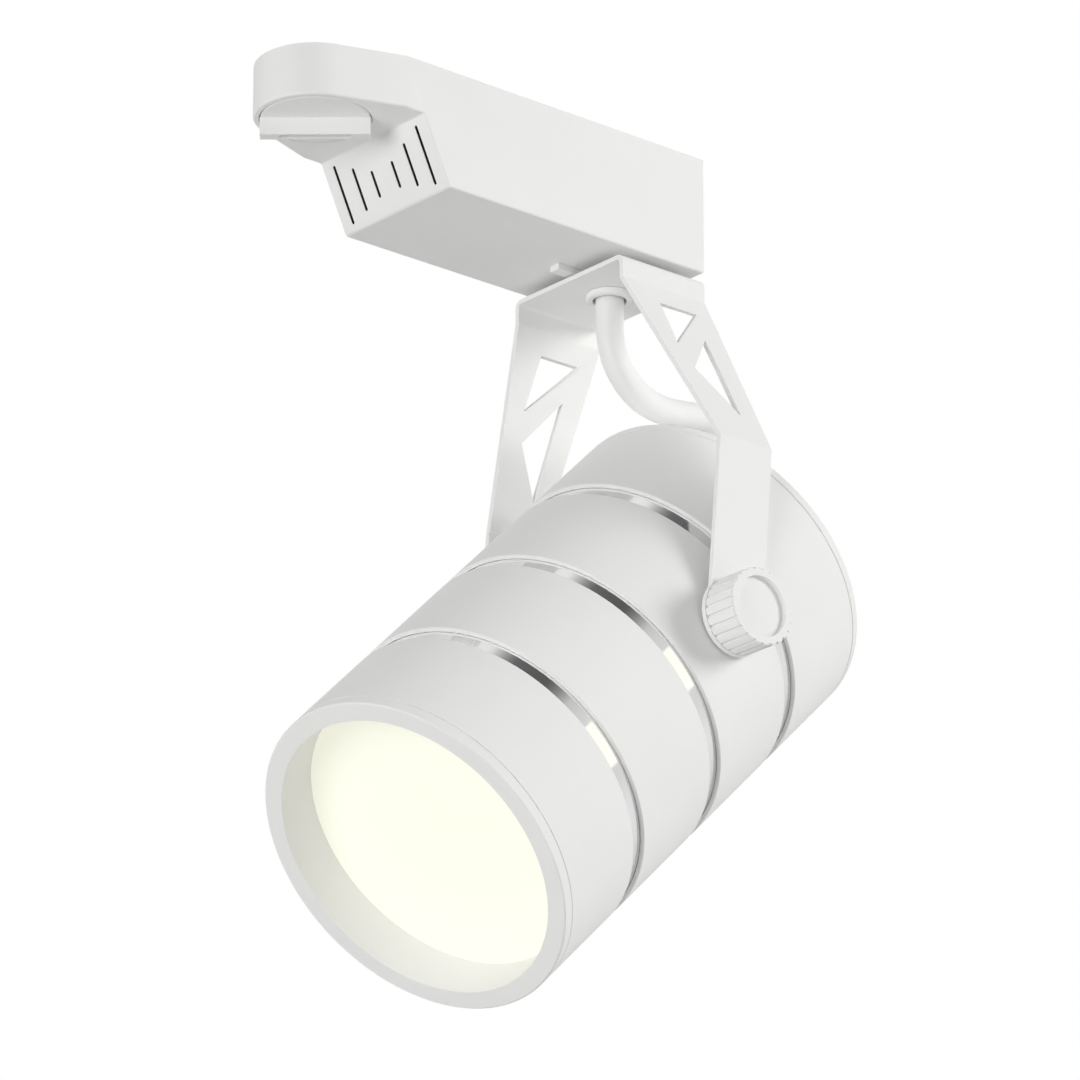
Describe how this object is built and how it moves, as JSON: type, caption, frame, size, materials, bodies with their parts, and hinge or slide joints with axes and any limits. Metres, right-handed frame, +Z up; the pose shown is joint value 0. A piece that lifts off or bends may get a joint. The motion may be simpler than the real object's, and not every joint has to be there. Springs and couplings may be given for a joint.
{
  "type": "track spotlight",
  "caption": "Spotlight for a lighting track: a slim adapter box with a locking dial, a cut-out yoke that pans, and a grooved drum head that tilts on a knurled knob.",
  "frame": {"origin": "on the pan axis, at the top face of the adapter box that seats against the track", "axes": "+Z up into the track, +X from the dial end to the yoke end along the track, the tilt axis along Y with its knob on the -Y arm"},
  "size_m": [0.1619, 0.0953, 0.216],
  "materials": {
    "white_paint": "fine satin powder coat",
    "white_plastic": "satin moulded plastic",
    "lead_jacket": "smooth matt cable jacket",
    "polished_aluminium": "mirror polished",
    "raw_aluminium": "as extruded",
    "steel": "zinc plated",
    "brass": "plain brass",
    "circuit_board": "solder mask",
    "dark_parts": "moulded component bodies",
    "diffuser": "frosted, lit from behind",
    "phosphor": "phosphor gel",
    "ceramic": "white ceramic",
    "grey_rubber": "silicone rubber",
    "wire_insulation": "wire insulation"
  },
  "bodies": {
    "adapter": {"adapter_housing": "white_plastic", "adapter_cover": "white_plastic", "cover_screws": "steel", "track_guide": "white_plastic", "earth_contact": "brass", "driver_board": "circuit_board", "board_screws": "steel", "transformer": "dark_parts", "capacitors": "dark_parts", "terminal_block": "white_plastic", "supply_wires": "wire_insulation", "contact_springs": "brass", "lead_cores": "wire_insulation", "pan_bush": "white_paint", "pan_locknut": "brass", "pan_wave_washer": "steel", "pan_stop_washer": "white_paint", "pan_friction_washer": "white_plastic"},
    "dial": {"locking_dial": "white_plastic", "dial_shaft": "steel", "dial_screw": "steel", "contact_head": "white_plastic", "live_contact": "brass", "neutral_contact": "brass"},
    "yoke": {"yoke_bracket": "white_paint", "stop_pin": "steel", "lead": "lead_jacket"},
    "head": {"bezel_ring": "white_paint", "front_drum": "white_paint", "second_drum": "white_paint", "third_drum": "white_paint", "rear_drum": "white_paint", "core_tube": "polished_aluminium", "rear_cap": "white_paint", "rear_cap_screws": "steel", "lens": "diffuser", "lens_gasket": "grey_rubber", "reflector": "polished_aluminium", "led_emitter": "phosphor", "led_board": "ceramic", "led_holder": "white_plastic", "led_screws": "steel", "thermal_pad": "grey_rubber", "heat_sink": "raw_aluminium", "led_wires": "wire_insulation", "pivot_inserts": "steel", "pivot_washers": "white_plastic", "pivot_screw": "white_paint", "cable_gland": "white_plastic", "gland_nut": "brass", "strain_relief": "lead_jacket"},
    "knob": {"tilt_knob": "white_paint", "knob_stud": "steel"}
  },
  "joints": [
    {"name": "dial_turn", "type": "hinge", "parent": "adapter", "child": "dial", "pos_m": [-0.0886, 0, 0], "axis": [0, 0, 1], "range_deg": [-49, 41]},
    {"name": "pan", "type": "hinge", "parent": "adapter", "child": "yoke", "pos_m": [0, 0, -0.0309], "axis": [0, 0, 1], "range_deg": [-163, 163]},
    {"name": "tilt", "type": "hinge", "parent": "yoke", "child": "head", "pos_m": [0.0014, 0, -0.1237], "axis": [0, -1, 0], "range_deg": [-45, 45], "deforming": ["lead"]},
    {"name": "knob_turn", "type": "hinge", "parent": "head", "child": "knob", "pos_m": [0.0014, 0, -0.1237], "axis": [0, -1, 0], "range_deg": [0, 360]}
  ]
}
